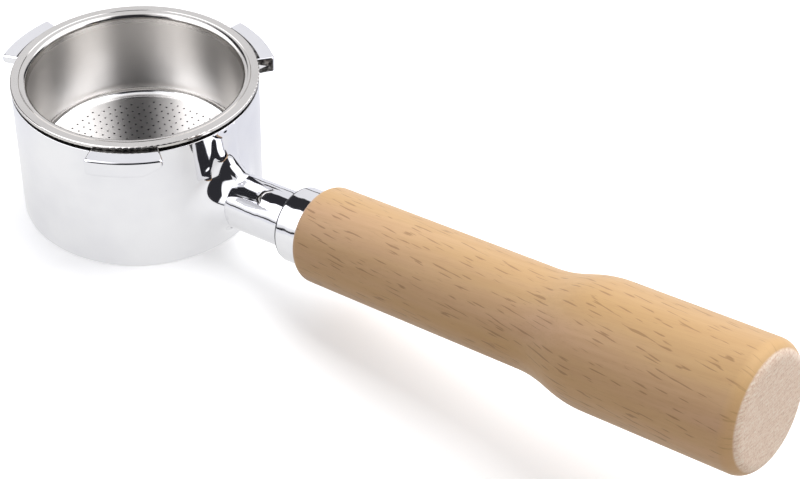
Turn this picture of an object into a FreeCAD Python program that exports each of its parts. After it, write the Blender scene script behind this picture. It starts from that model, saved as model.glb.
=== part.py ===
import FreeCAD, Part
import math
import os
import re

import Sketcher
from FreeCAD import Placement, Rotation, Vector

# Bottomless espresso portafilter with a wooden handle, in millimetres.
# +Z is up and +X runs along the handle. The origin is on the cup's axis at its lower face.
# Pieces of the handle are drawn on their own X axis, which is then set on the tilted handle axis.

SIZES = {
    # cup: a plain tube, open at the bottom, with a narrower lip low down inside
    "body_wall": 3.0,
    "body_height": 34.2,
    "lip_reach": 1.4,
    "lip_height": 6.5,
    "edge_break": 0.4,
    "rim_gap": 0.9,
    "rim_step": 1.2,
    # bayonet lugs, flush with the top of the cup
    "lug_count": 3,
    "lug_first_angle": 71,
    "lug_span": 31,
    "lug_reach": 4.6,
    "lug_thickness": 4.4,
    "lug_ramp_length": 4.2,
    "lug_ramp_rise": 2.3,
    "lug_edge": 0.5,
    # filter basket, pressed from sheet
    "basket_radius": 25.6,
    "basket_sheet": 0.45,
    "basket_depth": 23.2,
    "basket_corner": 1.6,
    "basket_ring_width": 3.2,
    "basket_step_rise": 0.45,
    "basket_mouth_round": 1.5,
    "basket_clearance": 0.35,
    "flange_overhang": 0.1,
    "flange_thickness": 1.0,
    "flange_ring_width": 2.3,
    "flange_step": 0.15,
    "flange_edge": 0.3,
    "hole_radius": 0.25,
    "hole_pitch": 2.0,
    "hole_field_margin": 1.2,
    "hole_grid_angle": 8,
    # wire ring that holds the basket
    "wire_radius": 0.6,
    "wire_level": 27.5,
    "wire_gap_angle": 28,
    "wire_clearance": 0.05,
    "wire_room": 0.3,
    # neck cast in one with the cup
    "axis_height": 9.0,
    "handle_tilt": 9.0,
    "root_radius": 6.0,
    "root_drop": 0.75,
    "root_flare": 6.5,
    "barrel_radius": 6.75,
    "barrel_start": 34.8,
    "barrel_end": 52.6,
    "barrel_edge": 1.0,
    "rib_radius": 3.0,
    "rib_proud": 0.5,
    "rib_top": 32.3,
    "rib_sweep": 8.6,
    "rib_sink": 0.6,
    "rib_foot": 0.5,
    # stud, seal and ferrule
    "stud_radius": 4.0,
    "stud_grip": 15.0,
    "stud_edge": 0.6,
    "thread_clearance": 0.02,
    "seal_radius": 6.5,
    "seal_thickness": 0.6,
    "ferrule_radius": 9.0,
    "ferrule_length": 7.4,
    "ferrule_edge": 0.9,
    "ferrule_clearance": 0.3,
    "spigot_radius": 7.6,
    "spigot_length": 2.5,
    # threaded insert and wooden handle
    "insert_wall": 2.0,
    "insert_length": 18.0,
    "insert_edge": 0.5,
    "wood_clearance": 0.02,
    "wood_length": 117.5,
    "wood_front_radius": 11.4,
    "wood_rear_radius": 14.3,
    "wood_front_round": 1.8,
    "wood_rear_round": 3.5,
    "wood_waist": 65.0,
    "wood_swell": 10.4,
    "wood_swell_curve": 28.0,
    "stud_room": 2.0,
}


def make_sheet(doc):
    """One row for each size: its name beside its number."""
    sheet = doc.addObject("Spreadsheet::Sheet", "sizes")
    for row, (name, value) in enumerate(SIZES.items(), start=1):
        sheet.set(f"A{row}", name)
        sheet.set(f"B{row}", str(value))
        sheet.setAlias(f"B{row}", name)
    doc.recompute()
    return sheet


# Sizes that follow from others.
DERIVED = {
    "lug_radius": "(body_radius + lug_reach)",
    "flange_radius": "(body_radius + flange_overhang)",
    "body_radius": "(bore_radius + body_wall)",
    "lip_radius": "(bore_radius - lip_reach)",
    "bore_radius": "(basket_radius + basket_sheet + basket_clearance)",
    "rim_level": "(body_height + flange_thickness)",
    "floor_level": "(body_height + flange_thickness - basket_depth)",
    "step_radius": "(basket_radius - basket_ring_width)",
    "wire_centre": "(basket_radius + basket_sheet + wire_clearance + wire_radius)",
    "ferrule_bore": "(stud_radius + ferrule_clearance)",
    "ferrule_front": "(barrel_end + seal_thickness)",
    "wood_front": "(barrel_end + seal_thickness + ferrule_length)",
    "insert_front": "(barrel_end + seal_thickness + ferrule_length + spigot_length)",
    "insert_radius": "(stud_radius + insert_wall)",
}


def with_sheet(expression):
    """Writes out the derived sizes, then puts the sheet's name before each size."""
    for word, meaning in DERIVED.items():
        expression = re.sub(rf"\b{word}\b", meaning, expression)
    return re.sub(r"\b[a-z]+(_[a-z]+)+\b", r"sizes.\g<0>", expression)


def value_of(doc, expression):
    """The number that an expression gives now."""
    return float(doc.sizes.evalExpression(with_sheet(expression)))


def plane_of(body, role):
    """One of the body's own origin planes."""
    return next(item for item in body.Origin.OriginFeatures if item.Role == role)


def new_body(doc, name):
    body = doc.addObject("PartDesign::Body", name)
    body.Label = name
    return body


def new_sketch(body, name, role):
    sketch = body.newObject("Sketcher::SketchObject", name)
    sketch.AttachmentSupport = [(plane_of(body, role), "")]
    sketch.MapMode = "FlatFace"
    return sketch


def drive(sketch, constraint, expression):
    """Adds a size to a sketch and ties it to the sheet."""
    number = sketch.addConstraint(constraint)
    sketch.setExpression(f"Constraints[{number}]", with_sheet(expression))


def corner_point(doc, corner):
    return Vector(value_of(doc, corner[0]), value_of(doc, corner[1]), 0)


def outline(doc, sketch, corners, closed=True):
    """Lines through corners given as (x, y) or (x, y, rounding), all expressions."""
    points = [corner_point(doc, corner) for corner in corners]
    count = len(corners)
    cuts = [corner_cut(doc, points, number, corners[number]) for number in range(count)]
    lines = []
    for number in range(count if closed else count - 1):
        start = cuts[number][1]
        end = cuts[(number + 1) % count][0]
        lines.append(sketch.addGeometry(Part.LineSegment(start, end)))
    if not closed:
        place(doc, sketch, lines[0], 1, points[0], corners[0])
        place(doc, sketch, lines[-1], 2, points[-1], corners[-1])
    for number in range(count) if closed else range(1, count - 1):
        corner = corners[number]
        before = lines[number - 1]
        after = lines[number]
        if len(corner) == 2:
            sketch.addConstraint(Sketcher.Constraint("Coincident", before, 2, after, 1))
            place(doc, sketch, after, 1, points[number], corner)
        else:
            round_corner(doc, sketch, before, after, points[number], cuts[number], corner)


def corner_cut(doc, points, number, corner):
    """Where a corner's rounding begins and ends; both are the corner itself if it is sharp."""
    point = points[number]
    if len(corner) == 2:
        return point, point
    back = (points[number - 1] - point).normalize()
    ahead = (points[(number + 1) % len(points)] - point).normalize()
    reach = value_of(doc, corner[2]) / math.tan(back.getAngle(ahead) / 2)
    return point + back * reach, point + ahead * reach


def place(doc, sketch, geometry, end, point, corner):
    """Ties one point of a sketch to a pair of expressions."""
    drive(sketch, Sketcher.Constraint("DistanceX", -1, 1, geometry, end, point.x), corner[0])
    drive(sketch, Sketcher.Constraint("DistanceY", -1, 1, geometry, end, point.y), corner[1])


def round_corner(doc, sketch, before, after, point, cut, corner):
    """An arc between two lines, tangent to both, with the sharp corner kept as a point."""
    radius = value_of(doc, corner[2])
    back = (cut[0] - point).normalize()
    ahead = (cut[1] - point).normalize()
    middle_way = (back + ahead).normalize()
    half_turn = back.getAngle(ahead) / 2
    centre = point + middle_way * (radius / math.sin(half_turn))
    middle = centre - middle_way * radius
    arc = sketch.addGeometry(Part.Arc(cut[0], middle, cut[1]))
    mark = sketch.addGeometry(Part.Point(point), True)
    counter_clockwise = back.cross(ahead).z < 0
    arc_start, arc_end = (1, 2) if counter_clockwise else (2, 1)
    sketch.addConstraint(Sketcher.Constraint("Tangent", before, 2, arc, arc_start))
    sketch.addConstraint(Sketcher.Constraint("Tangent", after, 1, arc, arc_end))
    drive(sketch, Sketcher.Constraint("Radius", arc, radius), corner[2])
    sketch.addConstraint(Sketcher.Constraint("PointOnObject", mark, 1, before))
    sketch.addConstraint(Sketcher.Constraint("PointOnObject", mark, 1, after))
    place(doc, sketch, mark, 1, point, corner)


def on_tilted_axis(sketch, drop="0"):
    """Turns a sketch in the XZ plane so that its X axis lies along the handle."""
    sketch.AttachmentOffset = Placement(Vector(0, 0, 0), Rotation(Vector(0, 0, 1), 1))
    sketch.setExpression("AttachmentOffset.Base.y", with_sheet(f"axis_height - {drop}"))
    sketch.setExpression("AttachmentOffset.Rotation.Angle", with_sheet("handle_tilt"))


def set_on_handle_axis(body):
    """Stands a handle piece, drawn along X, on the tilted axis."""
    body.Placement = Placement(Vector(0, 0, 0), Rotation(Vector(0, -1, 0), 1))
    body.setExpression("Placement.Base.z", with_sheet("axis_height"))
    body.setExpression("Placement.Rotation.Angle", with_sheet("handle_tilt"))


def spin(body, name, sketch, axis="H_Axis"):
    """A full revolution about one of the sketch's own axes."""
    feature = body.newObject("PartDesign::Revolution", name)
    feature.Profile = sketch
    feature.ReferenceAxis = (sketch, [axis])
    feature.Angle = 360
    sketch.Visibility = False
    return feature


def spin_cut(body, name, sketch, axis="H_Axis"):
    feature = body.newObject("PartDesign::Groove", name)
    feature.Profile = sketch
    feature.ReferenceAxis = (sketch, [axis])
    feature.Angle = 360
    return feature


def edge_names(shape, wanted):
    """Names of the edges for which wanted(edge) holds."""
    return [f"Edge{number}" for number, edge in enumerate(shape.Edges, start=1) if wanted(edge)]


def middle_of(edge):
    return edge.valueAt((edge.FirstParameter + edge.LastParameter) / 2)


def radius_at(point):
    return math.hypot(point.x, point.y)


# ---------------------------------------------------------------- cup, lugs and neck


def make_portafilter_body(doc):
    body = new_body(doc, "portafilter_body")
    add_cup_blank(doc, body)
    add_root(doc, body)
    add_rib(doc, body)
    add_barrel(doc, body)
    add_lugs(doc, body)
    cut_cup(doc, body)
    cut_stud_hole(doc, body)
    return body


def add_cup_blank(doc, body):
    """The cup's outside. A step round the rim leaves a gap below the basket's flange."""
    sketch = new_sketch(body, "cup_outline", "XZ_Plane")
    outline(doc, sketch, [
        ("0", "0"),
        ("body_radius", "0", "edge_break"),
        ("body_radius", "body_height - rim_gap"),
        ("body_radius - rim_step", "body_height - rim_gap"),
        ("body_radius - rim_step", "body_height"),
        ("0", "body_height"),
    ])
    spin(body, "cup_blank", sketch, "V_Axis")
    doc.recompute()


def add_root(doc, body):
    """The neck's root leaves the cup a little low, and flares into it all round."""
    sketch = new_sketch(body, "root_outline", "XZ_Plane")
    on_tilted_axis(sketch, "root_drop")
    outline(doc, sketch, [
        ("body_radius * 0.5", "0"),
        ("barrel_start + 1", "0"),
        ("barrel_start + 1", "root_radius"),
        ("body_radius * 0.5", "root_radius"),
    ])
    root = spin(body, "root", sketch)
    doc.recompute()
    wall = value_of(doc, "body_radius")
    top = value_of(doc, "body_height")

    def meets_wall(edge):
        point = middle_of(edge)
        return abs(radius_at(point) - wall) < 0.01 and 1.0 < point.z < top - 1.0 and point.x > 0

    flare = body.newObject("PartDesign::Fillet", "root_flare")
    flare.Base = (root, edge_names(root.Shape, meets_wall))
    flare.setExpression("Radius", with_sheet("root_flare"))
    doc.recompute()


def add_rib(doc, body):
    """A round web over the root: it sweeps from the wall, under the rim, to the barrel's top."""
    slope = "tan(handle_tilt * 1deg)"
    rise = "(axis_height + (barrel_radius - rib_radius) / cos(handle_tilt * 1deg) - rib_sink)"
    wall_line = "(body_radius + rib_proud - rib_radius)"
    path = new_sketch(body, "rib_path", "XZ_Plane")
    outline(doc, path, [
        (wall_line, "rib_top"),
        (wall_line, f"{rise} + {wall_line} * {slope}", "rib_sweep + rib_radius"),
        ("barrel_start + 6", f"{rise} + (barrel_start + 6) * {slope}"),
    ], closed=False)
    section = new_sketch(body, "rib_section", "XY_Plane")
    section.setExpression("AttachmentOffset.Base.z", with_sheet("rib_top"))
    middle = Vector(value_of(doc, wall_line), 0, 0)
    radius = value_of(doc, "rib_radius")
    circle = section.addGeometry(Part.Circle(middle, Vector(0, 0, 1), radius))
    drive(section, Sketcher.Constraint("Radius", circle, radius), "rib_radius")
    place(doc, section, circle, 3, middle, (wall_line, "0"))
    rib = body.newObject("PartDesign::AdditivePipe", "rib")
    rib.Profile = section
    rib.Spine = (path, [])
    doc.recompute()
    wall = value_of(doc, "body_radius")

    def meets_wall(edge):
        point = middle_of(edge)
        on_wall = all(abs(radius_at(vertex.Point) - wall) < 0.01 for vertex in edge.Vertexes)
        return on_wall and point.x > 0 and abs(point.y) < 4 and 20 < point.z < 32

    foot = body.newObject("PartDesign::Fillet", "rib_foot")
    foot.Base = (rib, edge_names(rib.Shape, meets_wall))
    foot.setExpression("Radius", with_sheet("rib_foot"))
    doc.recompute()


def add_barrel(doc, body):
    sketch = new_sketch(body, "barrel_outline", "XZ_Plane")
    on_tilted_axis(sketch)
    outline(doc, sketch, [
        ("barrel_start", "0"),
        ("barrel_end", "0"),
        ("barrel_end", "barrel_radius", "edge_break"),
        ("barrel_start", "barrel_radius", "barrel_edge"),
    ])
    spin(body, "barrel", sketch)
    doc.recompute()


def add_lugs(doc, body):
    """Equal lugs round the rim; each underside ramps up at its leading end."""
    sketch = new_sketch(body, "lug_outline", "XZ_Plane")
    sketch.AttachmentOffset = Placement(Vector(0, 0, 0), Rotation(Vector(0, 1, 0), 1))
    sketch.setExpression("AttachmentOffset.Rotation.Angle", with_sheet("lug_first_angle"))
    low = "body_height - lug_thickness"
    outline(doc, sketch, [
        ("body_radius - 1.5 * rim_step", low),
        ("lug_radius", low, "lug_edge"),
        ("lug_radius", "body_height", "lug_edge"),
        ("body_radius - 1.5 * rim_step", "body_height"),
    ])
    lug = body.newObject("PartDesign::Revolution", "lug")
    lug.Profile = sketch
    lug.ReferenceAxis = (sketch, ["V_Axis"])
    lug.Midplane = True
    lug.setExpression("Angle", with_sheet("lug_span"))
    doc.recompute()
    ramp = cut_lug_ramp(doc, body, low)
    pattern = body.newObject("PartDesign::PolarPattern", "lugs")
    pattern.Originals = [lug, ramp]
    pattern.Axis = (sketch, ["V_Axis"])
    pattern.Angle = 360
    pattern.setExpression("Occurrences", with_sheet("lug_count"))
    body.Tip = pattern
    doc.recompute()


def cut_lug_ramp(doc, body, low):
    """A wedge taken off the lug's underside, drawn on a plane that touches the cup's wall."""
    half = "lug_ramp_length / 2"
    angle = f"(lug_first_angle + lug_span / 2 - {half} / body_radius * 180 / pi)"
    sketch = new_sketch(body, "ramp_outline", "YZ_Plane")
    sketch.AttachmentOffset = Placement(Vector(0, 0, 0), Rotation(Vector(0, 1, 0), 1))
    sketch.setExpression("AttachmentOffset.Rotation.Angle", with_sheet(angle))
    sketch.setExpression("AttachmentOffset.Base.x", with_sheet(f"body_radius * sin({angle} * 1deg)"))
    sketch.setExpression("AttachmentOffset.Base.z", with_sheet(f"body_radius * cos({angle} * 1deg)"))
    slope = "lug_ramp_rise / lug_ramp_length"
    outline(doc, sketch, [
        (f"-({half})", low),
        (f"-({half}) - 1", f"{low} - 1"),
        (f"{half} + 2", f"{low} - 1"),
        (f"{half} + 2", f"{low} + ({half} * 2 + 2) * {slope}"),
    ])
    ramp = body.newObject("PartDesign::Pocket", "lug_ramp")
    ramp.Profile = sketch
    ramp.setExpression("Length", with_sheet("lug_radius"))
    ramp.Reversed = True
    doc.recompute()
    return ramp


def cut_cup(doc, body):
    """The bore for the basket, the groove for its wire ring, and the narrower lip low down."""
    groove = "(wire_centre + wire_radius + wire_room)"
    wire_half = "(wire_radius + wire_room / 2)"
    sketch = new_sketch(body, "bore_outline", "XZ_Plane")
    outline(doc, sketch, [
        ("0", "-1"),
        ("lip_radius", "-1"),
        ("lip_radius", "lip_height"),
        ("bore_radius", "lip_height + lip_reach"),
        ("bore_radius", f"wire_level - {wire_half}"),
        (groove, f"wire_level - {wire_half}"),
        (groove, f"wire_level + {wire_half}"),
        ("bore_radius", f"wire_level + {wire_half}"),
        ("bore_radius", "body_height - 2 * edge_break"),
        ("bore_radius + 2 * edge_break", "body_height"),
        ("bore_radius + 2 * edge_break", "body_height + 1"),
        ("0", "body_height + 1"),
    ])
    spin_cut(body, "bore", sketch, "V_Axis")
    doc.recompute()


def cut_stud_hole(doc, body):
    sketch = new_sketch(body, "stud_hole_outline", "XZ_Plane")
    on_tilted_axis(sketch)
    wall = "stud_radius + thread_clearance"
    outline(doc, sketch, [
        ("barrel_end - stud_grip", "0"),
        ("barrel_end + 1", "0"),
        ("barrel_end + 1", wall),
        ("barrel_end - stud_grip", wall),
    ])
    spin_cut(body, "stud_hole", sketch)
    doc.recompute()


# ---------------------------------------------------------------- basket and its ring


def make_filter_basket(doc):
    """A pressed cup hung by its flange, with a perforated floor."""
    pressing = new_body(doc, "basket_pressing")
    sketch = new_sketch(pressing, "basket_outline", "XZ_Plane")
    outer = "(basket_radius + basket_sheet)"
    ring = "(floor_level - basket_step_rise)"
    under = "(floor_level - basket_sheet)"
    track = "(flange_radius - flange_ring_width)"
    outline(doc, sketch, [
        ("0", "floor_level"),
        ("step_radius", "floor_level"),
        ("step_radius + basket_step_rise", ring),
        ("basket_radius", ring, "basket_corner"),
        ("basket_radius", "rim_level", "basket_mouth_round"),
        (track, "rim_level"),
        (track, "rim_level - flange_step"),
        (f"{track} + flange_step", "rim_level - flange_step"),
        (f"{track} + 2 * flange_step", "rim_level"),
        ("flange_radius", "rim_level", "flange_edge"),
        ("flange_radius", "body_height", "flange_edge"),
        (outer, "body_height", "basket_clearance"),
        (outer, f"{ring} - basket_sheet", "basket_corner + basket_sheet"),
        ("step_radius + basket_step_rise - basket_sheet / 2", f"{ring} - basket_sheet"),
        ("step_radius - basket_sheet / 2", under),
        ("0", under),
    ])
    spin(pressing, "pressing", sketch, "V_Axis")
    doc.recompute()
    holes = make_floor_holes(doc)
    basket = doc.addObject("Part::Cut", "filter_basket")
    basket.Base = pressing
    basket.Tool = holes
    basket.Label = "filter_basket"
    doc.recompute()
    return basket


def make_floor_holes(doc):
    """Pins on a square grid that drill the floor, out to the field's edge."""
    pitch = value_of(doc, "hole_pitch")
    field = value_of(doc, "step_radius - hole_field_margin")
    radius = value_of(doc, "hole_radius")
    floor = value_of(doc, "floor_level")
    sheet = value_of(doc, "basket_sheet")
    reach = int(field / pitch) + 1
    turn = Rotation(Vector(0, 0, 1), value_of(doc, "hole_grid_angle"))
    pins = []
    for column in range(-reach, reach + 1):
        for row in range(-reach, reach + 1):
            spot = turn.multVec(Vector(column * pitch, row * pitch, floor - 2 * sheet))
            if radius_at(spot) <= field:
                pins.append(Part.makeCylinder(radius, 3 * sheet, spot))
    holes = doc.addObject("Part::Feature", "floor_holes")
    holes.Shape = Part.makeCompound(pins)
    return holes


def make_basket_spring(doc):
    """An open ring of wire, drawn as it sits: sprung lightly onto the basket's wall."""
    body = new_body(doc, "basket_spring")
    sketch = new_sketch(body, "wire_section", "XZ_Plane")
    sketch.AttachmentOffset = Placement(Vector(0, 0, 0), Rotation(Vector(0, 1, 0), 180))
    middle = Vector(value_of(doc, "wire_centre"), value_of(doc, "wire_level"), 0)
    circle = sketch.addGeometry(Part.Circle(middle, Vector(0, 0, 1), value_of(doc, "wire_radius")))
    drive(sketch, Sketcher.Constraint("Radius", circle, value_of(doc, "wire_radius")), "wire_radius")
    place(doc, sketch, circle, 3, middle, ("wire_centre", "wire_level"))
    wire = body.newObject("PartDesign::Revolution", "wire")
    wire.Profile = sketch
    wire.ReferenceAxis = (sketch, ["V_Axis"])
    wire.Midplane = True
    wire.setExpression("Angle", with_sheet("360 - wire_gap_angle"))
    doc.recompute()
    return body


# ---------------------------------------------------------------- handle


def make_handle_stud(doc):
    """The threaded rod that ties the handle to the neck, drawn at its outer thread size."""
    body = new_body(doc, "handle_stud")
    sketch = new_sketch(body, "stud_outline", "XZ_Plane")
    start = "barrel_end - stud_grip"
    end = "wood_front + insert_length"
    outline(doc, sketch, [
        (start, "0"),
        (end, "0"),
        (end, "stud_radius - stud_edge"),
        (f"{end} - stud_edge", "stud_radius"),
        (f"{start} + stud_edge", "stud_radius"),
        (start, "stud_radius - stud_edge"),
    ])
    spin(body, "rod", sketch)
    set_on_handle_axis(body)
    return body


def make_handle_seal(doc):
    """A thin rubber washer between the neck and the ferrule."""
    body = new_body(doc, "handle_seal")
    sketch = new_sketch(body, "seal_outline", "XZ_Plane")
    outline(doc, sketch, [
        ("barrel_end", "ferrule_bore"),
        ("ferrule_front", "ferrule_bore"),
        ("ferrule_front", "seal_radius"),
        ("barrel_end", "seal_radius"),
    ])
    spin(body, "washer", sketch)
    set_on_handle_axis(body)
    return body


def make_ferrule(doc):
    """The plated collar; a spigot behind it centres the wood."""
    body = new_body(doc, "ferrule")
    sketch = new_sketch(body, "ferrule_outline", "XZ_Plane")
    outline(doc, sketch, [
        ("ferrule_front", "ferrule_bore"),
        ("insert_front", "ferrule_bore"),
        ("insert_front", "spigot_radius"),
        ("wood_front", "spigot_radius"),
        ("wood_front", "ferrule_radius"),
        ("ferrule_front", "ferrule_radius", "ferrule_edge"),
    ])
    spin(body, "collar", sketch)
    set_on_handle_axis(body)
    return body


def make_threaded_insert(doc):
    """The brass sleeve in the wood that the stud screws into."""
    body = new_body(doc, "threaded_insert")
    sketch = new_sketch(body, "insert_outline", "XZ_Plane")
    bore = "stud_radius + thread_clearance"
    outline(doc, sketch, [
        ("insert_front", bore),
        ("insert_front + insert_length", bore),
        ("insert_front + insert_length", "insert_radius - insert_edge"),
        ("insert_front + insert_length - insert_edge", "insert_radius"),
        ("insert_front", "insert_radius"),
    ])
    spin(body, "sleeve", sketch)
    set_on_handle_axis(body)
    return body


def make_wood_handle(doc):
    """Slim in front, swelling in one curve to a fuller grip with rounded ends."""
    body = new_body(doc, "wood_handle")
    sketch = new_sketch(body, "handle_outline", "XZ_Plane")
    seat_radius = "spigot_radius + wood_clearance"
    hole = "insert_radius + wood_clearance"
    hole_end = "insert_front + insert_length + stud_room"
    outline(doc, sketch, [
        ("wood_front", seat_radius),
        ("wood_front", "wood_front_radius", "wood_front_round"),
        ("wood_front + wood_waist", "wood_front_radius", "wood_swell_curve"),
        ("wood_front + wood_waist + wood_swell", "wood_rear_radius", "wood_swell_curve"),
        ("wood_front + wood_length", "wood_rear_radius", "wood_rear_round"),
        ("wood_front + wood_length", "0"),
        (hole_end, "0"),
        (hole_end, hole),
        ("insert_front", hole),
        ("insert_front", seat_radius),
    ])
    spin(body, "turning", sketch)
    set_on_handle_axis(body)
    return body


# ---------------------------------------------------------------- whole part


def check(doc, pieces):
    """Stops if any object failed or any piece isn't a valid solid."""
    for item in doc.Objects:
        if "Invalid" in item.State or "Error" in item.State:
            raise RuntimeError(f"{item.Name} is in state {item.State}")
    for piece in pieces:
        shape = piece.Shape
        if shape.isNull() or not shape.isValid() or not shape.Solids:
            raise RuntimeError(f"{piece.Label} has no valid solid")


def main():
    doc = FreeCAD.newDocument("portafilter")
    make_sheet(doc)
    makers = [
        make_portafilter_body,
        make_basket_spring,
        make_filter_basket,
        make_handle_stud,
        make_handle_seal,
        make_ferrule,
        make_threaded_insert,
        make_wood_handle,
    ]
    pieces = [make(doc) for make in makers]
    doc.recompute()
    check(doc, pieces)
    os.makedirs("parts", exist_ok=True)
    for piece in pieces:
        piece.Shape.exportStep(f"parts/{piece.Label}.step")
        solids = len(piece.Shape.Solids)
        print(piece.Label, solids, "solid", round(piece.Shape.Volume, 1), "mm3")


main()
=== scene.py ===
"""Looks of a bottomless portafilter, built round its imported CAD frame.

Sizes are in millimetres. Blender's objects and shader coordinates are in metres, so MM turns the one
into the other. A place on the handle is given along, across and up its own tilted axes.
"""

import math

import bmesh
import bpy
import numpy as np
from mathutils import Matrix, Vector


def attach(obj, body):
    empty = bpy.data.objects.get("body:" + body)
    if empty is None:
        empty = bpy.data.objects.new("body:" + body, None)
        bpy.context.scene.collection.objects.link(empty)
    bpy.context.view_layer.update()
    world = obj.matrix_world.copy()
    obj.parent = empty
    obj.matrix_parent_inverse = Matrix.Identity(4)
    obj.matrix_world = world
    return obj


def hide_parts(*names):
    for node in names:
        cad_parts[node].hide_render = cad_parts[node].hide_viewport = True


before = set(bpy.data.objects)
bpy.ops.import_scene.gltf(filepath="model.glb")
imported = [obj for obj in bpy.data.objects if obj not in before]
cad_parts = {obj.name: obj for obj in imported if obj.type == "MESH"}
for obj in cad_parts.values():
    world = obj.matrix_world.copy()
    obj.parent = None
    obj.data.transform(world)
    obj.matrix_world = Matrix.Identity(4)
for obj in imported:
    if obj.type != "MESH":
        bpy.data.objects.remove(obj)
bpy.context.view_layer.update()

MM = 0.001

# The sizes are the CAD model's. Only some rounded edges and the rib's blends, top and sink are this
# model's own.

# cup
BORE_RADIUS = 26.4
BODY_RADIUS = BORE_RADIUS + 3.0
BODY_HEIGHT = 34.2
LIP_RADIUS = BORE_RADIUS - 1.4
LIP_HEIGHT = 6.5
EDGE = 0.4
RIM_GAP = 0.9
RIM_STEP = 1.2
RIM_EDGE = 0.12
BORE_EDGE = 0.1
LIP_EDGE = 0.3
OUTLET_EDGE = 0.25
GROOVE_RADIUS = BORE_RADIUS + 1.2
GROOVE_LEVEL = 27.5
GROOVE_HALF = 0.75
BASKET_FLOOR = 12.0

# lugs
LUG_ANGLES = (71, 191, 311)
LUG_SPAN = 31
LUG_RADIUS = BODY_RADIUS + 4.6
LUG_THICKNESS = 4.4
LUG_RAMP_LENGTH = 4.2
LUG_RAMP_RISE = 2.3
LUG_EDGE = 0.75
LUG_LEAST_EDGE = 0.05

# neck, on an axis that rises from AXIS_HEIGHT
AXIS_HEIGHT = 9.0
TILT = math.radians(9.0)
ROOT_RADIUS = 6.0
ROOT_DROP = 0.75
ROOT_FLARE = 6.5
RIB_RADIUS = 3.0
RIB_LINE = BODY_RADIUS + 0.5 - RIB_RADIUS
RIB_SINK = 0.9
RIB_SWEEP = 11.6
RIB_TOP = 32.5
RIB_TOP_EDGE = 1.2
RIB_FLARE = 2.2
RIB_CREST = 1.2
CREST_HALF = 0.3
FLANK_WIDTH = 3.4
# the barrel is a closed piece of its own, and the cup's root ends inside it
BARREL_RADIUS = 6.75
BARREL_START = 34.8
BARREL_END = 52.6
BARREL_BACK_EDGE = 0.85
ROOT_END = BARREL_START + 1.0
STUD_HOLE_RADIUS = 4.02
STUD_HOLE_START = BARREL_END - 15.0
STUD_HOLE_EDGE = 0.25

# ferrule and wood
FERRULE_START = BARREL_END + 0.6
FERRULE_BORE = 4.3
FERRULE_RADIUS = 9.0
FERRULE_FRONT_EDGE = 0.8
FERRULE_REAR_EDGE = 0.15
SPIGOT_EDGE = 0.2
# how far back the ferrule's front is painted near black, as painted shade at its joint with the barrel
SHADE_RING = 0.75
WOOD_START = FERRULE_START + 7.4
SPIGOT_RADIUS = 7.6
SPIGOT_END = WOOD_START + 2.5
WOOD_CLEARANCE = 0.02
WOOD_LENGTH = 117.5
WOOD_END = WOOD_START + WOOD_LENGTH
WOOD_WAIST = 65.0
WOOD_SWELL = 10.4
WOOD_SWELL_CURVE = 28.0
WOOD_FRONT_RADIUS = 11.4
WOOD_FRONT_ROUND = 1.8
WOOD_REAR_RADIUS = 14.3
WOOD_REAR_ROUND = 3.5
INSERT_RADIUS = 6.02
INSERT_END = SPIGOT_END + 20.0

# where the axis starts, seen along and up the handle's own axes
AXIS_ALONG = AXIS_HEIGHT * math.sin(TILT)
AXIS_UP = AXIS_HEIGHT * math.cos(TILT)

# how finely the meshes are cut. The patch is the part of the cup's wall that the neck grows from.
TURN_STEPS = 480
HANDLE_STEPS = 192
PATCH_HALF = 40
PATCH_ROWS = 48
NECK_RINGS = 96
WALL_CROWDING = 1.15
AXIS_CROWDING = 1.6
LUG_STEPS = 72
LUG_END_STEPS = 5
SUPPORT = 0.12
NEAR_AXIS = 0.01

# edges that turn more than this stay sharp
CREASE = math.radians(32)
CARRIED_CREASE = math.radians(28)


# ---------------------------------------------------------------- mesh building


def arc_points(before, corner, after, radius, steps):
    """The rounded corner between two straight runs, with a support point at each side if there is room."""
    corner = np.array(corner, float)
    back = np.array(before, float) - corner
    ahead = np.array(after, float) - corner
    room = min(np.linalg.norm(back), np.linalg.norm(ahead))
    back /= np.linalg.norm(back)
    ahead /= np.linalg.norm(ahead)
    half = math.acos(np.clip(back @ ahead, -1, 1)) / 2
    reach = radius / math.tan(half)
    middle = (back + ahead) / np.linalg.norm(back + ahead)
    centre = corner + middle * radius / math.sin(half)
    start = corner + back * reach - centre
    end = corner + ahead * reach - centre
    sweep = math.pi - 2 * half
    points = []
    support = min(SUPPORT, radius * 0.3)
    supported = room > reach + 3 * support
    if supported:
        points.append(corner + back * (reach + support))
    for i in range(steps + 1):
        t = i / steps
        blend = (math.sin((1 - t) * sweep) * start + math.sin(t * sweep) * end) / math.sin(sweep)
        points.append(centre + blend)
    if supported:
        points.append(corner + ahead * (reach + support))
    return points


def rounded(corners, closed=True, steps=6):
    """A profile from corners (x, y[, radius])."""
    out = []
    n = len(corners)
    for i, corner in enumerate(corners):
        radius = corner[2] if len(corner) > 2 else 0
        if radius and (closed or 0 < i < n - 1):
            out += arc_points(corners[i - 1][:2], corner[:2], corners[(i + 1) % n][:2], radius, steps)
        else:
            out.append(np.array(corner[:2], float))
    return np.array(out)


def refine(profile, longest, closed=True, like=None):
    """The same profile with no run longer than a given length, or cut up as another profile is."""
    guide = profile if like is None else like
    lengths = np.linalg.norm(np.roll(guide, -1, axis=0) - guide, axis=1)
    ends = np.roll(profile, -1, axis=0)
    out = []
    for i, (a, b) in enumerate(zip(profile, ends)):
        out.append(a)
        if i == len(profile) - 1 and not closed:
            break
        parts = max(1, math.ceil(lengths[i] / longest))
        out += [a + (b - a) * k / parts for k in range(1, parts)]
    return np.array(out)


def about_z(profile, angles):
    """Rows of points: the profile (r, z) turned to each angle about the cup's axis."""
    r, z = profile[:, 0], profile[:, 1]
    return np.array([np.column_stack((r * math.cos(a), r * math.sin(a), z)) for a in angles])


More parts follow.
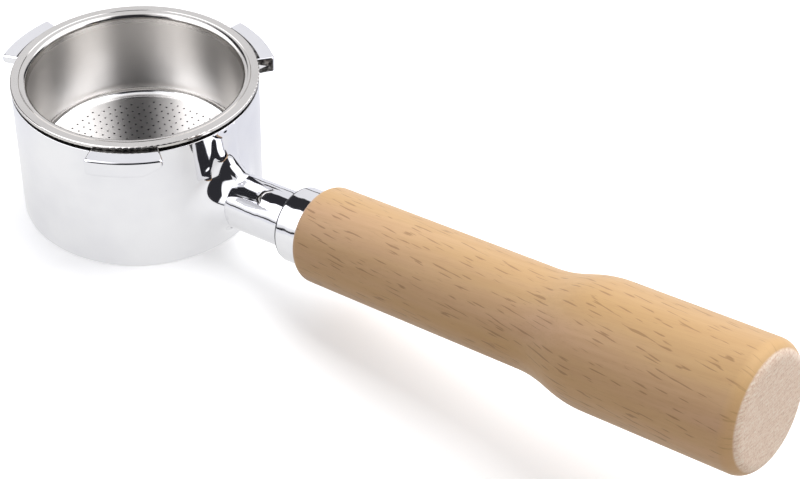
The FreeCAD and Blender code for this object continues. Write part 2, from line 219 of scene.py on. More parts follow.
def on_handle(s, y, h):
    """From the handle's own axes (along, across, up) to the frame."""
    x = s * math.cos(TILT) - h * math.sin(TILT)
    z = AXIS_HEIGHT + s * math.sin(TILT) + h * math.cos(TILT)
    return np.stack(np.broadcast_arrays(x, y, z), axis=-1)


def about_handle(profile, angles):
    """Rows of points: the profile (s, r) turned to each angle about the handle's axis."""
    s, r = profile[:, 0], profile[:, 1]
    return np.array([on_handle(s, r * math.cos(a), r * math.sin(a)) for a in angles])


def circle(count):
    return [2 * math.pi * i / count for i in range(count)]


class Shell:
    """Collects grids of points and turns them into one mesh."""

    def __init__(self):
        self.points = []
        self.faces = []

    def grid(self, rows, wrap_rows=False, wrap_points=False):
        """Faces between neighbouring rows of points."""
        row_count, count = rows.shape[:2]
        base = len(self.points)
        self.points += [tuple(p) for p in rows.reshape(-1, 3) * MM]
        for i in range(row_count if wrap_rows else row_count - 1):
            here = base + i * count
            above = base + (i + 1) % row_count * count
            for j in range(count if wrap_points else count - 1):
                beside = (j + 1) % count
                self.faces.append((here + j, here + beside, above + beside, above + j))

    def fan(self, ring, centre):
        """Triangles from a ring of points to its centre."""
        base = len(self.points)
        count = len(ring)
        self.points += [tuple(p) for p in np.asarray(ring) * MM] + [tuple(np.asarray(centre) * MM)]
        for j in range(count):
            self.faces.append((base + j, base + (j + 1) % count, base + count))

    def piece(self, name, node, slot, materials, second=None):
        """The finished mesh, in place of a CAD node.

        second tells, from a face's middle and direction, whether it takes the second material.
        """
        mesh = bpy.data.meshes.new(name)
        mesh.from_pydata(self.points, [], self.faces)
        work = bmesh.new()
        work.from_mesh(mesh)
        bmesh.ops.remove_doubles(work, verts=work.verts, dist=2e-6)
        bmesh.ops.dissolve_degenerate(work, edges=work.edges, dist=1e-7)
        bmesh.ops.recalc_face_normals(work, faces=work.faces)
        for face in work.faces:
            face.smooth = True
        for edge in work.edges:
            edge.smooth = len(edge.link_faces) == 2 and edge.calc_face_angle() < CREASE
        if second:
            for face in work.faces:
                face.material_index = int(second(face.calc_center_median() / MM, face.normal))
        work.to_mesh(mesh)
        work.free()
        piece = bpy.data.objects.new(name, mesh)
        bpy.context.scene.collection.objects.link(piece)
        for material in materials:
            mesh.materials.append(material)
        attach(piece, "holder")
        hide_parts(node)


# ---------------------------------------------------------------- materials


class Nodes:
    """The node tree of a material or a world, with short names for the nodes that are used in it."""

    def __init__(self, owner):
        owner.use_nodes = True
        self.tree = owner.node_tree
        self.tree.nodes.clear()

    def node(self, kind, inputs=None, **settings):
        node = self.tree.nodes.new(kind)
        for key, value in settings.items():
            setattr(node, key, value)
        for key, value in (inputs or {}).items():
            self.give(node.inputs[key], value)
        return node

    def give(self, socket, value):
        if isinstance(value, bpy.types.NodeSocket):
            self.tree.links.new(value, socket)
        else:
            socket.default_value = value

    def math(self, operation, *values):
        return self.node("ShaderNodeMath", dict(enumerate(values)), operation=operation).outputs[0]

    def split(self, vector):
        node = self.node("ShaderNodeSeparateXYZ", {"Vector": vector})
        return [node.outputs[axis] for axis in "XYZ"]

    def span(self, value, low, high, to_low=0.0, to_high=1.0, ease="LINEAR"):
        return self.node("ShaderNodeMapRange", {
            "Value": value, "From Min": low, "From Max": high, "To Min": to_low, "To Max": to_high,
        }, interpolation_type=ease).outputs["Result"]

    def ramp(self, value, stops):
        node = self.node("ShaderNodeValToRGB", {"Fac": value})
        elements = node.color_ramp.elements
        while len(elements) < len(stops):
            elements.new(0.5)
        for element, (at, colour) in zip(elements, stops):
            element.position = at
            element.color = (*colour, 1.0)
        return node.outputs["Color"]


class Paint(Nodes):
    """A material with one Principled shader."""

    def __init__(self, name):
        self.material = bpy.data.materials.new(name)
        super().__init__(self.material)
        self.shader = self.node("ShaderNodeBsdfPrincipled")
        output = self.node("ShaderNodeOutputMaterial")
        self.tree.links.new(self.shader.outputs["BSDF"], output.inputs["Surface"])
        self.place = self.node("ShaderNodeTexCoord").outputs["Object"]

    def mapped(self, scale, turn=(0, 0, 0), source=None):
        return self.node("ShaderNodeMapping", {
            "Vector": source or self.place, "Scale": scale, "Rotation": turn,
        }).outputs["Vector"]

    def handle_place(self):
        """The place in millimetres, on the handle's own axes but from the cup's origin."""
        return self.mapped((1 / MM, 1 / MM, 1 / MM), (0, TILT, 0))

    def noise(self, vector, scale, detail=2.0, rough=0.5):
        return self.node("ShaderNodeTexNoise", {
            "Vector": vector, "Scale": scale, "Detail": detail, "Roughness": rough,
        }).outputs["Fac"]

    def mix(self, share, a, b):
        node = self.node("ShaderNodeMix", data_type="RGBA")
        for index, value in ((0, share), (6, a), (7, b)):
            self.give(node.inputs[index], value)
        return node.outputs[2]

    def weighted(self, a, share_a, b, share_b):
        return self.math("ADD", self.math("MULTIPLY", a, share_a), self.math("MULTIPLY", b, share_b))

    def bump(self, height, distance, strength=1.0):
        return self.node("ShaderNodeBump", {
            "Height": height, "Distance": distance, "Strength": strength,
        }).outputs["Normal"]

    def set(self, **inputs):
        for key, value in inputs.items():
            self.give(self.shader.inputs[key.replace("_", " ")], value)
        return self.material


def chrome(name, tint_low, tint_high, rough_low, rough_high, shade_to=None):
    """Polished plating: faintly cloudy, with hairline wipe marks.

    Up to a given place along the handle it is painted near black: a painted shade for the joint in front of
    it.
    """
    paint = Paint(name)
    cloud = paint.noise(paint.place, 55.0, 3.0)
    wipe = paint.noise(paint.mapped((1400, 1400, 60), (0.3, 0.2, 0)), 1.0)
    colour = paint.ramp(cloud, ((0.35, tint_low), (0.65, tint_high)))
    # painted shade: up to that place the colour is near black, for the shadowed joint between the barrel
    # and the ferrule
    if shade_to:
        along = paint.split(paint.handle_place())[0]
        edge_at = shade_to + AXIS_ALONG
        past_shade = paint.span(along, edge_at - 0.1, edge_at + 0.1)
        colour = paint.mix(past_shade, (0.05, 0.05, 0.055, 1.0), colour)
    marks = paint.weighted(cloud, 0.6, wipe, 0.4)
    # the neck is polished by hand, so it is a little uneven
    hand_polish = paint.span(paint.split(paint.place)[0], 30.0 * MM, 34.0 * MM)
    uneven = paint.math("MULTIPLY", paint.noise(paint.place, 240.0, 1.0), hand_polish)
    return paint.set(
        Base_Color=colour, Metallic=1.0, Roughness=paint.span(marks, 0.35, 0.65, rough_low, rough_high),
        Normal=paint.bump(uneven, 0.00012),
    )


def satin_steel(name):
    """Spun and polished sheet: fine rings round the axis, and a soft sheen across them."""
    paint = Paint(name)
    x, y, z = paint.split(paint.place)
    out = paint.math("SQRT", paint.math("ADD", paint.math("MULTIPLY", x, x), paint.math("MULTIPLY", y, y)))
    ring = paint.node("ShaderNodeCombineXYZ", {"X": out, "Y": z}).outputs["Vector"]
    lines = paint.noise(paint.mapped((5200, 5200, 1), source=ring), 1.0, 3.0, 0.7)
    cloud = paint.noise(paint.place, 70.0, 3.0)
    colour = paint.ramp(
        paint.weighted(lines, 0.3, cloud, 0.7), ((0.35, (0.66, 0.64, 0.615)), (0.65, (0.72, 0.70, 0.675))),
    )
    # the floor is painted paler than the wall, a painted brightening for the bright reflection it shows,
    # and both the rim and the floor are smoother
    floor_brightening = paint.span(z, (BASKET_FLOOR + 0.2) * MM, (BASKET_FLOOR + 1.0) * MM, 0.75, 0.0)
    colour = paint.mix(floor_brightening, colour, (0.95, 0.95, 0.95, 1.0))
    rim = paint.span(z, (BODY_HEIGHT - 1.7) * MM, (BODY_HEIGHT + 0.3) * MM, 1.0, 0.45)
    floor = paint.span(z, (BASKET_FLOOR + 0.2) * MM, (BASKET_FLOOR + 1.5) * MM, 0.38, 1.0)
    share = paint.math("MULTIPLY", rim, floor)
    tangent = paint.node("ShaderNodeTangent", direction_type="RADIAL", axis="Z").outputs["Tangent"]
    return paint.set(
        Base_Color=colour, Metallic=1.0,
        Roughness=paint.math("MULTIPLY", paint.span(lines, 0.2, 0.8, 0.27, 0.31), share),
        Anisotropic=0.3, Tangent=tangent, Normal=paint.bump(lines, 0.000002, 0.1),
    )


def turned_metal(name, low, high, rough_low, rough_high):
    """Turned metal that is mostly out of sight: tool marks along the handle's axis."""
    paint = Paint(name)
    marks = paint.noise(paint.mapped((4000, 300, 300), (0, TILT, 0)), 1.0)
    return paint.set(
        Base_Color=paint.ramp(marks, ((0.35, low), (0.65, high))), Metallic=1.0,
        Roughness=paint.span(marks, 0.3, 0.7, rough_low, rough_high),
        Normal=paint.bump(marks, 0.00002, 0.4),
    )


def painted_shade_metal(name):
    """Painted shade as dark, blotchy, dull metal: the shadow in the gap under the basket's flange, and the
    darker lug ends.
    """
    paint = Paint(name)
    blotch = paint.noise(paint.place, 900.0, 4.0, 0.65)
    # painted shade: near black, with a few paler blotches
    colour = paint.ramp(blotch, (
        (0.38, (0.02, 0.02, 0.022)), (0.52, (0.10, 0.095, 0.09)), (0.66, (0.3, 0.29, 0.28)),
    ))
    return paint.set(
        Base_Color=colour, Metallic=1.0, Roughness=paint.span(blotch, 0.3, 0.7, 0.6, 0.3),
        Normal=paint.bump(blotch, 0.0001, 0.6),
    )


def rubber(name):
    """Black rubber with a fine grain."""
    paint = Paint(name)
    grain = paint.noise(paint.place, 2500.0, 3.0)
    return paint.set(
        Base_Color=paint.ramp(grain, ((0.3, (0.012, 0.012, 0.013)), (0.7, (0.03, 0.03, 0.031)))),
        Roughness=paint.span(grain, 0.3, 0.7, 0.55, 0.75), Normal=paint.bump(grain, 0.00003, 0.5),
    )


def beech(name):
    """Beech: even tan wood, fine pores, short brown ray flecks along the grain, pale end grain."""
    paint = Paint(name)
    straight = paint.handle_place()
    along, across, up = paint.split(straight)
    grain = paint.mapped((1, 1, 1), [math.radians(a) for a in (20, 1.5, -3.5)], source=straight)
    # the turned surface rolled out flat: along the handle, and round it
    round_angle = paint.math("ARCTAN2", across, paint.math("SUBTRACT", up, AXIS_UP))
    rolled = paint.node("ShaderNodeCombineXYZ", {
        "X": along, "Y": paint.math("MULTIPLY", round_angle, WOOD_REAR_RADIUS),
    }).outputs["Vector"]
    rolled = paint.mapped((1, 1, 1), (0, 0, math.radians(7)), source=rolled)
    # broad colour of the growth layers
    layers = paint.noise(paint.mapped((0.006, 0.085, 0.085), source=grain), 1.0)
    colour = paint.ramp(layers, (
        (0.32, (0.54, 0.33, 0.135)), (0.5, (0.58, 0.37, 0.18)), (0.68, (0.61, 0.385, 0.23)),
    ))
    streak = paint.noise(paint.mapped((0.02, 1.1, 1.1), source=grain), 1.0, 4.0, 0.6)
    colour = paint.mix(paint.span(streak, 0.3, 0.7, 0.0, 0.35), colour, (0.46, 0.265, 0.125, 1.0))
    # ray flecks: the peaks of a drawn-out noise
    peaks = paint.noise(paint.mapped((0.16, 1.55, 1), source=rolled), 1.0, 1.0, 0.4)
    flecks = paint.math("MULTIPLY", paint.span(peaks, 0.63, 0.68), 0.6)
    colour = paint.mix(flecks, colour, (0.25, 0.125, 0.045, 1.0))
    pores = paint.noise(paint.mapped((0.25, 6.0, 6.0), source=grain), 1.0)
    colour = paint.mix(paint.span(pores, 0.56, 0.75, 0.0, 0.3), colour, (0.38, 0.22, 0.11, 1.0))
    # the rounded edge before the sawn rear face is a little darker
    end_at = WOOD_END + AXIS_ALONG
    scorch = paint.span(along, end_at - 3.6, end_at - 1.6, 0.0, 0.5)
    colour = paint.mix(scorch, colour, (0.72, 0.46, 0.21, 1.0))
    # end grain on the rear face
    speckle = paint.noise(paint.mapped((2.2, 2.2, 2.2), source=straight), 1.0, 4.0, 0.7)
    saw = paint.noise(paint.mapped((0.3, 0.45, 2.6), (0.7, 0, 0), source=straight), 1.0)
    end_colour = paint.ramp(
        paint.weighted(speckle, 0.6, saw, 0.4),
        ((0.36, (0.66, 0.46, 0.34)), (0.5, (0.87, 0.68, 0.54)), (0.64, (0.96, 0.86, 0.74))),
    )
    colour = paint.mix(paint.span(along, end_at - 0.8, end_at - 0.5), colour, end_colour)
    relief = paint.math("SUBTRACT", paint.math("MULTIPLY", streak, 0.5), flecks)
    return paint.set(
        Base_Color=colour, Roughness=paint.span(streak, 0.3, 0.7, 0.42, 0.56),
        Specular_IOR_Level=0.4, Sheen_Weight=0.28, Normal=paint.bump(relief, 0.00006, 0.5),
    )


body_chrome = chrome("body_chrome", (0.82, 0.82, 0.845), (0.89, 0.89, 0.905), 0.03, 0.07)
# painted shade for the gap under the basket's flange, also used to darken one end of each lug
shade_finish = painted_shade_metal("shade_finish")
# the ferrule's front edge is painted near black: painted shade at its joint with the barrel
ferrule_finish = chrome(
    "ferrule_finish", (0.80, 0.80, 0.82), (0.88, 0.88, 0.89), 0.035, 0.08, FERRULE_START + SHADE_RING
)
wood_finish = beech("wood_finish")
carried_finishes = {
    "filter_basket": satin_steel("basket_finish"),
    "basket_spring": turned_metal("wire_finish", (0.46, 0.46, 0.47), (0.6, 0.6, 0.61), 0.18, 0.3),
    "handle_stud": turned_metal("stud_finish", (0.48, 0.47, 0.45), (0.63, 0.62, 0.6), 0.28, 0.42),
    "threaded_insert": turned_metal("brass_finish", (0.64, 0.46, 0.2), (0.8, 0.62, 0.3), 0.25, 0.4),
    "handle_seal": rubber("seal_finish"),
}

# ---------------------------------------------------------------- cup and neck

# the stretch of the cup's wall between its rounded edges
WALL_LOW = EDGE + 0.15
WALL_HIGH = BODY_HEIGHT - RIM_GAP - 0.3

# The neck's skin is found along rays from the handle's axis. Those to the wall start inside the cup.
# AXIS_AT_WALL is about the level at which the axis crosses the wall.
RAYS_START = 24.0
RAYS_REACH = 32.0
RAYS_PROBES = 161
HALVINGS = 30
AXIS_AT_WALL = 13.6


def round_union(a, b, radius):
    """Of two skin distances: both shapes, with a fillet between them."""
    blend = np.hypot(np.maximum(radius - a, 0), np.maximum(radius - b, 0))
    return np.maximum(radius, np.minimum(a, b)) - blend


def round_cut(a, b, radius):
    """Of two skin distances: what the shapes share, with a rounded edge."""
    blend = np.hypot(np.maximum(radius + a, 0), np.maximum(radius + b, 0))
    return np.minimum(-radius, np.maximum(a, b)) + blend


def rib_distance(x, y, z):
    """Distance from the rib's skin: a round bar down the wall, round a bend and along the barrel."""
    along_x, along_z = math.cos(TILT), math.sin(TILT)
    rise = AXIS_HEIGHT + (BARREL_RADIUS - RIB_RADIUS) / along_x - RIB_SINK
    centre_x = RIB_LINE + RIB_SWEEP
    centre_z = rise + centre_x * math.tan(TILT) + RIB_SWEEP / along_x
    from_x, from_z = x - centre_x, z - centre_z
    bend = np.abs(np.hypot(from_x, from_z) - RIB_SWEEP)
    wall = np.abs(x - RIB_LINE)
    barrel = np.abs((z - rise) * along_x - x * along_z)
    off = np.where(z > centre_z, wall, bend)
    off = np.where(from_x * along_x + from_z * along_z > 0, barrel, off)
    return np.hypot(off, y) - RIB_RADIUS


def neck_distance(p):
    """Roughly the distance from the skin of the cup's wall, the root and the rib, blended."""
    x, y, z = p[..., 0], p[..., 1], p[..., 2]
    wall = np.hypot(x, y) - BODY_RADIUS
    up = -x * math.sin(TILT) + (z - AXIS_HEIGHT) * math.cos(TILT)
    root = np.hypot(y, up + ROOT_DROP) - ROOT_RADIUS
    rib = round_cut(rib_distance(x, y, z), z - RIB_TOP, RIB_TOP_EDGE)
    # the rib's flanks flare widely into the cup, and its crest hardly at all
    share = np.clip((np.abs(y) - CREST_HALF) / FLANK_WIDTH, 0, 1)
    flare = RIB_CREST + (RIB_FLARE - RIB_CREST) * share * share * (3 - 2 * share)
    return round_union(round_union(wall, root, ROOT_FLARE), rib, flare)


def neck_skin(start, target):
    """Where rays from start through target leave the neck."""
    ray = target - start
    ray /= np.linalg.norm(ray, axis=-1, keepdims=True)
    steps = np.linspace(0.0, RAYS_REACH, RAYS_PROBES)
    inside = np.stack([neck_distance(start + ray * t) < 0 for t in steps], axis=-1)
    first = np.argmin(inside, axis=-1)
    low, high = steps[np.maximum(first - 1, 0)], steps[first]
    for _ in range(HALVINGS):
        middle = (low + high) / 2
        within = neck_distance(start + ray * middle[..., None]) < 0
        low, high = np.where(within, middle, low), np.where(within, high, middle)
    return start + ray * ((low + high) / 2)[..., None]


def neck_rows():
    """Rings of points from inside the barrel out to a rectangle of the cup's wall."""
    edge = 2 * math.pi * PATCH_HALF / TURN_STEPS
    side = edge * np.arange(-PATCH_HALF, PATCH_HALF) / PATCH_HALF
    up = WALL_LOW + (WALL_HIGH - WALL_LOW) * np.arange(PATCH_ROWS) / PATCH_ROWS
    # once round the rectangle: along its foot, up, back along its top and down
    angle = np.concatenate((side, np.full(PATCH_ROWS, edge), -side, np.full(PATCH_ROWS, -edge)))
    level = np.concatenate((
        np.full(2 * PATCH_HALF, WALL_LOW), up,
        np.full(2 * PATCH_HALF, WALL_HIGH), WALL_LOW + WALL_HIGH - up,
    ))
    outer = np.column_stack((BODY_RADIUS * np.cos(angle), BODY_RADIUS * np.sin(angle), level))
    around = np.arctan2(level - AXIS_AT_WALL, outer[:, 1])
    inner = neck_skin(
        on_handle(ROOT_END, 0.0, 0.0),
        on_handle(ROOT_END, ROOT_RADIUS * np.cos(around), ROOT_RADIUS * np.sin(around)),
    )
    rows = [inner]
    for i in range(1, NECK_RINGS):
        t = i / NECK_RINGS
        start = on_handle(RAYS_START + (ROOT_END - RAYS_START) * (1 - t) ** AXIS_CROWDING, 0.0, 0.0)
        rows.append(neck_skin(start, inner + (outer - inner) * t ** WALL_CROWDING))
    rows.append(outer)
    return np.array(rows)


def add_cup(shell):
    """The turned cup, and in a gap of its wall the patch that grows into the neck's root and rib."""
    # the section from the wall's top edge, over the rim, down the bore and out to the wall again
    section = rounded([
        (BODY_RADIUS, WALL_HIGH),
        (BODY_RADIUS, BODY_HEIGHT - RIM_GAP, RIM_EDGE),
        (BODY_RADIUS - RIM_STEP, BODY_HEIGHT - RIM_GAP),
        (BODY_RADIUS - RIM_STEP, BODY_HEIGHT),
        (BORE_RADIUS + 2 * EDGE, BODY_HEIGHT, BORE_EDGE),
        (BORE_RADIUS, BODY_HEIGHT - 2 * EDGE, BORE_EDGE),
        (BORE_RADIUS, GROOVE_LEVEL + GROOVE_HALF),
        (GROOVE_RADIUS, GROOVE_LEVEL + GROOVE_HALF),
        (GROOVE_RADIUS, GROOVE_LEVEL - GROOVE_HALF),
        (BORE_RADIUS, GROOVE_LEVEL - GROOVE_HALF),
        (BORE_RADIUS, LIP_HEIGHT + BORE_RADIUS - LIP_RADIUS, LIP_EDGE),
        (LIP_RADIUS, LIP_HEIGHT, LIP_EDGE),
        (LIP_RADIUS, 0, OUTLET_EDGE),
        (BODY_RADIUS, 0, EDGE),
        (BODY_RADIUS, WALL_LOW),
    ], closed=False)
    shell.grid(about_z(refine(section, longest=4.0, closed=False), circle(TURN_STEPS)), wrap_rows=True)
    levels = WALL_LOW + (WALL_HIGH - WALL_LOW) * np.arange(PATCH_ROWS + 1) / PATCH_ROWS
    wall = np.column_stack((np.full(PATCH_ROWS + 1, BODY_RADIUS), levels))
    turn = 2 * math.pi / TURN_STEPS
    shell.grid(about_z(wall, [i * turn for i in range(PATCH_HALF, TURN_STEPS - PATCH_HALF + 1)]))
    rows = neck_rows()
    shell.grid(rows, wrap_points=True)
    shell.fan(rows[0], on_handle(ROOT_END, 0.0, 0.0))


def add_barrel(shell):
    """The round neck, with the blind hole for the stud."""
    section = rounded([
        (BARREL_START, NEAR_AXIS),
        (BARREL_START, BARREL_RADIUS, BARREL_BACK_EDGE),
        (BARREL_END, BARREL_RADIUS, EDGE),
        (BARREL_END, STUD_HOLE_RADIUS, STUD_HOLE_EDGE),
        (STUD_HOLE_START, STUD_HOLE_RADIUS),
        (STUD_HOLE_START, NEAR_AXIS),
    ], closed=False, steps=8)
    rows = about_handle(refine(section, longest=2.0, closed=False), circle(HANDLE_STEPS))
    shell.grid(rows, wrap_rows=True)
    shell.fan(rows[:, 0], on_handle(BARREL_START, 0.0, 0.0))
    shell.fan(rows[::-1, -1], on_handle(STUD_HOLE_START, 0.0, 0.0))


def lug_section(turned, half):
    """The lug's section (r, z) at an angle from its middle: its underside ramps up towards one end.

    The ends are rounded by drawing the section in a little just before them.
    """
    gap = min(turned + half, half - turned) * LUG_RADIUS
    inset = LUG_EDGE - math.sqrt(max(LUG_EDGE ** 2 - max(LUG_EDGE - gap, 0) ** 2, 0))
    ramp = LUG_RAMP_LENGTH / BODY_RADIUS
    rise = max(0.0, (turned - (half - ramp)) / ramp) * LUG_RAMP_RISE
    inner, outer = BODY_RADIUS - 1.5 * RIM_STEP, LUG_RADIUS - inset
    low, high = BODY_HEIGHT - LUG_THICKNESS + rise + inset, BODY_HEIGHT - inset
    corner = max(LUG_EDGE - inset, LUG_LEAST_EDGE)
    return rounded([(inner, low), (outer, low, corner), (outer, high, corner), (inner, high)])


def add_lug(shell, middle):
    """A closed block rooted in the wall."""
    half = math.radians(LUG_SPAN / 2)
    edge = LUG_EDGE / LUG_RADIUS
    fine = [edge * (1 - math.cos(math.pi / 2 * i / LUG_END_STEPS)) for i in range(LUG_END_STEPS)]
    angles = [f - half for f in fine] + list(np.linspace(edge - half, half - edge, LUG_STEPS))
    angles += [half - f for f in reversed(fine)]
    full = lug_section(angles[len(angles) // 2], half)
    rows = []
    for turned in angles:
        section = refine(lug_section(turned, half), longest=1.5, like=full)
        rows.append(about_z(section, [math.radians(middle) + turned])[0])
    shell.grid(np.array(rows), wrap_points=True)
    for row in (rows[0], rows[-1]):
        shell.fan(row, row.mean(axis=0))


def in_painted_shade(middle, direction):
    """Which faces take the painted shade: the step under the basket's flange and, on each lug, the top
    beside the flange, both painted as the shadow in the gap under the flange; and the end without the ramp,
    which is painted darker.
    """
    slack = 0.01
    out = math.hypot(middle.x, middle.y)
    inside_step = BODY_RADIUS - RIM_STEP - slack < out < BODY_RADIUS - RIM_EDGE - slack
    on_step = inside_step and BODY_HEIGHT - RIM_GAP - slack < middle.z < BODY_HEIGHT - 0.1
    on_top = direction.z > 0.9 and middle.z > BODY_HEIGHT - 0.3
    beside_flange = on_top and BODY_RADIUS - 1.1 < out < BODY_RADIUS + 1.2
    turned = math.degrees(math.atan2(middle.y, middle.x)) % 360
    at_end = any(abs(turned - angle + LUG_SPAN / 2) < 0.25 for angle in LUG_ANGLES)
    across = direction.x * middle.y - direction.y * middle.x
    return on_step or beside_flange or at_end and out > BODY_RADIUS and across > 0.9 * out


def build_cup():
    shell = Shell()
    add_cup(shell)
    add_barrel(shell)
    for angle in LUG_ANGLES:
        add_lug(shell, angle)
    # the second material paints shade into the gap under the basket's flange and darkens one end of each
    # lug
    shell.piece(
        "cup_with_neck", "portafilter_body", "chrome_plate", (body_chrome, shade_finish),
        second=in_painted_shade,
    )


# ---------------------------------------------------------------- ferrule and wood


def build_ferrule():
    """A collar with a spigot that centres the wood."""
    section = rounded([
        (FERRULE_START, FERRULE_BORE, SPIGOT_EDGE),
        (SPIGOT_END, FERRULE_BORE),
        (SPIGOT_END, SPIGOT_RADIUS, SPIGOT_EDGE),
        (WOOD_START, SPIGOT_RADIUS),
        (WOOD_START, FERRULE_RADIUS, FERRULE_REAR_EDGE),
        (FERRULE_START, FERRULE_RADIUS, FERRULE_FRONT_EDGE),
    ], steps=8)
    shell = Shell()
    rows = about_handle(refine(section, longest=2.0), circle(HANDLE_STEPS))
    shell.grid(rows, wrap_rows=True, wrap_points=True)
    shell.piece("ferrule_collar", "ferrule", "ferrule_chrome", (ferrule_finish,))


def build_wood():
    """The turned handle: slim in front, swelling to a fuller grip, with holes for spigot and insert."""
    recess = SPIGOT_RADIUS + WOOD_CLEARANCE
    section = rounded([
        (SPIGOT_END, INSERT_RADIUS),
        (SPIGOT_END, recess),
        (WOOD_START, recess),
        (WOOD_START, WOOD_FRONT_RADIUS, WOOD_FRONT_ROUND),
        (WOOD_START + WOOD_WAIST, WOOD_FRONT_RADIUS, WOOD_SWELL_CURVE),
        (WOOD_START + WOOD_WAIST + WOOD_SWELL, WOOD_REAR_RADIUS, WOOD_SWELL_CURVE),
        (WOOD_END, WOOD_REAR_RADIUS, WOOD_REAR_ROUND),
        (WOOD_END, NEAR_AXIS),
        (INSERT_END, NEAR_AXIS),
        (INSERT_END, INSERT_RADIUS),
    ], steps=14)
    shell = Shell()
    rows = about_handle(refine(section, longest=1.5), circle(HANDLE_STEPS))
    shell.grid(rows, wrap_rows=True, wrap_points=True)
    shell.piece("turned_handle", "wood_handle", "beech", (wood_finish,))


# ---------------------------------------------------------------- carried-over nodes


def finish_carried():
    """Materials and smooth shading for the CAD's own meshes."""
    for name, finish in carried_finishes.items():
        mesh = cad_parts[name].data
        mesh.materials.clear()
        mesh.materials.append(finish)
        for polygon in mesh.polygons:
            polygon.use_smooth = True
        mesh.set_sharp_from_angle(angle=CARRIED_CREASE)


build_cup()
build_ferrule()
build_wood()
finish_carried()

# ---------------------------------------------------------------- studio

# panels in the room: heading of the middle, half width, lowest and highest level, softness, in degrees
DARK_PANELS = ((-41, 23, 20, 60, 3), (-38, 44, 2, 34, 2), (80, 24, 0, 22, 2), (171, 20, 28, 53, 1))
BRIGHT_PANELS = ((35, 44, 15, 75, 6), (-128, 42, 12, 75, 6))
BRIGHT_STRENGTH = 2.4
HORIZON_HALF = (3.0, 4.6)
WALL_LIGHT = (0.90, 0.90, 0.93)
WALL_DARK = (0.03, 0.03, 0.035)
MATTE_SHARE = 0.67

FLOOR_REACH = 3000.0
FLOOR_DROP = 0.05
FLOOR_FAR = (0.78, 0.79, 0.86, 1.0)
FLOOR_BOUNCE = (0.46, 0.38, 0.28, 1.0)
FLOOR_MIRRORED = (0.2, 0.2, 0.2, 1.0)
MIRRORED_GLOW = 0.76
SEEN_GLOW = 0.35


def stage_floor():
    """A plain pale floor. Mirrors, matte surfaces and the camera each get their own shade of it."""
    mesh = bpy.data.meshes.new("floor")
    reach, drop = FLOOR_REACH * MM, FLOOR_DROP * MM
    corners = ((-reach, -reach), (reach, -reach), (reach, reach), (-reach, reach))
    mesh.from_pydata([(*corner, -drop) for corner in corners], [], [(0, 1, 2, 3)])
    floor = bpy.data.objects.new("floor", mesh)
    bpy.context.scene.collection.objects.link(floor)
    paint = Paint("floor_finish")
    x, y, _ = paint.split(paint.place)
    path = paint.node("ShaderNodeLightPath").outputs
    cloud = paint.noise(paint.place, 6.0)
    plain = paint.ramp(cloud, ((0.3, (0.93, 0.93, 0.93)), (0.7, (0.95, 0.95, 0.95))))
    # in mirrors it falls off to a pale violet grey behind and to the left
    behind = paint.span(y, 0.0, 45.0 * MM)
    beside = paint.span(x, -35.0 * MM, -60.0 * MM, 0.0, 0.8)
    fall = paint.math("MULTIPLY", paint.math("MAXIMUM", behind, beside), path["Is Glossy Ray"])
    tint = paint.mix(fall, plain, FLOOR_FAR)
    # the light that it throws back on matte surfaces is warm
    colour = paint.mix(paint.math("MULTIPLY", path["Is Diffuse Ray"], 0.8), tint, FLOOR_BOUNCE)
    colour = paint.mix(path["Is Glossy Ray"], colour, FLOOR_MIRRORED)
    # it glows, but not inside the cup
    out = paint.node("ShaderNodeVectorMath", {0: paint.place}, operation="LENGTH").outputs["Value"]
    glow = paint.weighted(path["Is Glossy Ray"], MIRRORED_GLOW, path["Is Camera Ray"], SEEN_GLOW)
    glow = paint.math("MULTIPLY", glow, paint.span(out, 26.0 * MM, 29.0 * MM))
    mesh.materials.append(paint.set(
        Base_Color=colour, Roughness=0.9, Specular_IOR_Level=0.1,
        Emission_Color=tint, Emission_Strength=glow,
    ))


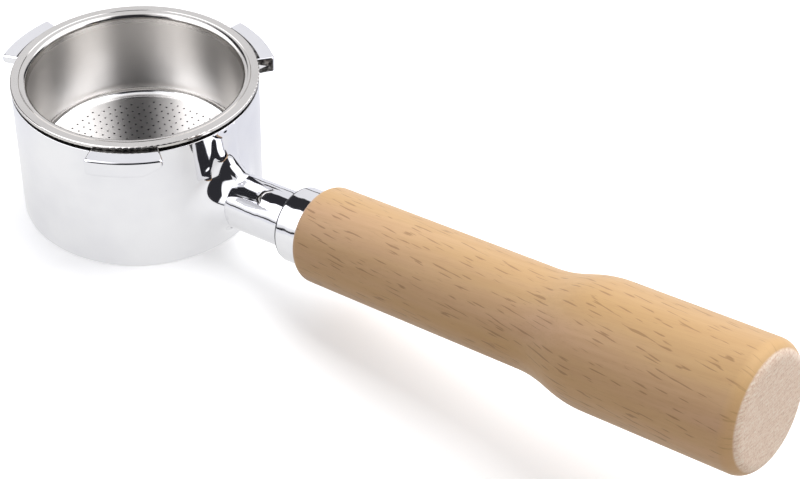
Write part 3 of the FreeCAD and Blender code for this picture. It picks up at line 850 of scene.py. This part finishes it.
def world_light():
    """A white room with dark panels, bright panels and a thin dark line at the horizon."""
    world = bpy.data.worlds.new("studio")
    bpy.context.scene.world = world
    room = Nodes(world)
    x, y, z = room.split(room.node("ShaderNodeTexCoord").outputs["Generated"])
    level = room.math("MULTIPLY", room.math("ARCSINE", z), 180 / math.pi)
    heading = room.math("MULTIPLY", room.math("ARCTAN2", y, x), 180 / math.pi)

    def step(value, low, high):
        return room.span(value, low, high, ease="SMOOTHSTEP")

    def panel(middle, half, low, high, soft):
        turned = room.math("WRAP", room.math("SUBTRACT", heading, middle), 180.0, -180.0)
        across = step(room.math("ABSOLUTE", turned), half + soft, half - soft)
        above = room.math("MULTIPLY", across, step(level, low - soft, low + soft))
        return room.math("MULTIPLY", above, step(level, high + soft, high - soft))

    def any_of(panels, share):
        for one in panels:
            share = room.math("MAXIMUM", share, panel(*one))
        return share

    thin, thick = HORIZON_HALF
    dark = any_of(DARK_PANELS, step(room.math("ABSOLUTE", level), thick, thin))
    bright = any_of(BRIGHT_PANELS, 0.0)
    seen = room.math("ADD", room.math("MULTIPLY", bright, BRIGHT_STRENGTH - 1), 1.0)
    # matte things get less of the room, so that the key light shapes them
    matte = room.node("ShaderNodeLightPath").outputs["Is Diffuse Ray"]
    strength = room.node("ShaderNodeMix", {0: matte, 2: seen, 3: MATTE_SHARE}, data_type="FLOAT").outputs[0]
    back = room.node("ShaderNodeBackground", {
        "Color": room.ramp(dark, ((0.0, WALL_LIGHT), (1.0, WALL_DARK))), "Strength": strength,
    })
    output = room.node("ShaderNodeOutputWorld")
    room.tree.links.new(back.outputs["Background"], output.inputs["Surface"])


def key_light():
    """One large softbox, above and behind the handle. Mirrors don't show it."""
    light = bpy.data.lights.new("key", "AREA")
    light.size = 1.8
    light.energy = 33.0
    lamp = bpy.data.objects.new("key", light)
    bpy.context.scene.collection.objects.link(lamp)
    lamp.location = (0.1, 0.8, 1.35)
    lamp.visible_glossy = False
    aim = Vector((0.06, 0, 0.02))
    lamp.rotation_euler = (aim - lamp.location).to_track_quat("-Z", "Y").to_euler()


stage_floor()
world_light()
key_light()

# ---------------------------------------------------------------- camera

AZIMUTH, ELEVATION, ROLL = (math.radians(a) for a in (-50.98, 39.61, 1.5))
DISTANCE, PAN_RIGHT, PAN_UP = 486.46, 63.64, -12.43
SENSOR, LENS = 36.0, 87.879


def place_camera():
    """It looks at the cup's origin from above and one side, then it is panned and rolled a little."""
    heading = Vector((math.cos(AZIMUTH), math.sin(AZIMUTH), 0.0))
    back = heading * math.cos(ELEVATION) + Vector((0.0, 0.0, math.sin(ELEVATION)))
    level = Vector((-math.sin(AZIMUTH), math.cos(AZIMUTH), 0.0))
    upright = back.cross(level)
    right = math.cos(ROLL) * level + math.sin(ROLL) * upright
    upward = math.cos(ROLL) * upright - math.sin(ROLL) * level
    camera = bpy.data.objects.new("camera", bpy.data.cameras.new("camera"))
    camera.data.sensor_width, camera.data.lens = SENSOR, LENS
    camera.data.clip_start, camera.data.clip_end = 0.01, 20.0
    stand = (back * DISTANCE + right * PAN_RIGHT + upward * PAN_UP) * MM
    turn = Matrix((right, upward, back)).transposed()
    camera.matrix_world = Matrix.Translation(stand) @ turn.to_4x4()
    bpy.context.scene.collection.objects.link(camera)
    bpy.context.scene.camera = camera


place_camera()
bpy.context.scene.view_settings.view_transform = "Standard"
